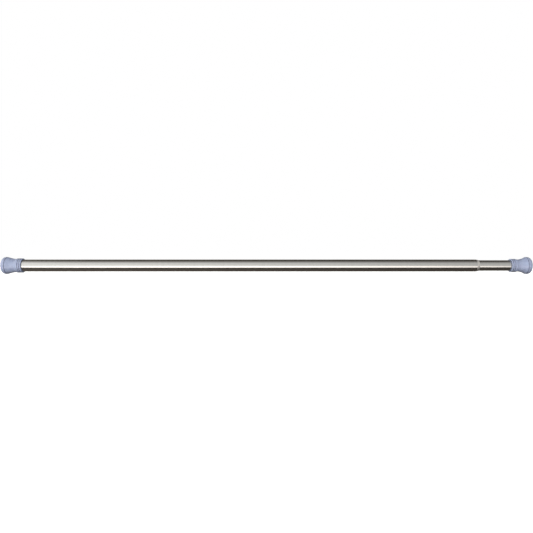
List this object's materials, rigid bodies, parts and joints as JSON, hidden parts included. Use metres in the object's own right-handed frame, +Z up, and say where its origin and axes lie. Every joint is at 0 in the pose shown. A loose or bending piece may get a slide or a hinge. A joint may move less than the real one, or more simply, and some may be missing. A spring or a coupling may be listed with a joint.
{
  "type": "tension curtain rod",
  "caption": "Telescoping steel tension rod with a twist lock, an inner spring and a flared soft foot on each end, held between two walls without brackets.",
  "frame": {"origin": "centre of the left foot's wall face, on the rod's axis", "axes": "+X along the rod towards the right foot, +Z up, -X out of the left wall face"},
  "size_m": [1.111, 0.036, 0.036],
  "materials": {
    "brushed_steel": "fine circumferential brush lines under a clear satin finish",
    "foot_rubber": "soft translucent blue-grey rubber, satin, slightly cloudy",
    "bushing_nylon": "natural white nylon, moulded, matt",
    "inner_nylon": "natural nylon, moulded, matt",
    "black_plastic": "black moulded plastic, matt",
    "red_nylon": "red moulded nylon, matt",
    "turned_steel": "bright drawn steel with turning marks",
    "zinc_plate": "bright zinc plate",
    "spring_steel": "oiled spring wire, dark satin"
  },
  "bodies": {
    "outer_pole": {"outer_tube": "brushed_steel", "left_foot": "foot_rubber", "left_tube_plug": "black_plastic", "mouth_bushing": "bushing_nylon"},
    "guide": {"guide_sleeve": "inner_nylon"},
    "spindle": {"lock_spindle": "turned_steel", "cam_carrier": "black_plastic", "cam_washer": "zinc_plate", "cam_screw": "zinc_plate", "sleeve_clip": "spring_steel", "spring_piston": "black_plastic", "piston_washer": "zinc_plate", "piston_nut": "zinc_plate", "thrust_spring": "spring_steel"},
    "eccentric": {"cam_ring": "red_nylon"},
    "inner_pole": {"inner_tube": "brushed_steel", "right_foot": "foot_rubber", "right_tube_plug": "black_plastic", "inner_end_plug": "inner_nylon", "spring_seat": "inner_nylon", "end_plug_rivets": "zinc_plate", "seat_pin": "spring_steel"}
  },
  "joints": [
    {"name": "length_adjust", "type": "slide", "parent": "outer_pole", "child": "guide", "axis": [1, 0, 0], "range_m": [-0.04, 0.72]},
    {"name": "twist_lock", "type": "hinge", "parent": "guide", "child": "spindle", "pos_m": [0.1, 0, 0], "axis": [1, 0, 0], "range_deg": [0, 150]},
    {"name": "cam_ring_turn", "type": "hinge", "parent": "spindle", "child": "eccentric", "pos_m": [0.08, 0.00077, 0.00021], "axis": [1, 0, 0], "range_deg": [-150, 0]},
    {"name": "spring_travel", "type": "slide", "parent": "spindle", "child": "inner_pole", "axis": [-1, 0, 0], "range_m": [0, 0.025], "stiffness_N_per_m": 2400, "springref_m": -0.01, "deforming": ["thrust_spring"]}
  ],
  "couplings": [
    {"joint": "cam_ring_turn", "follows": "twist_lock", "ratio": -1}
  ]
}
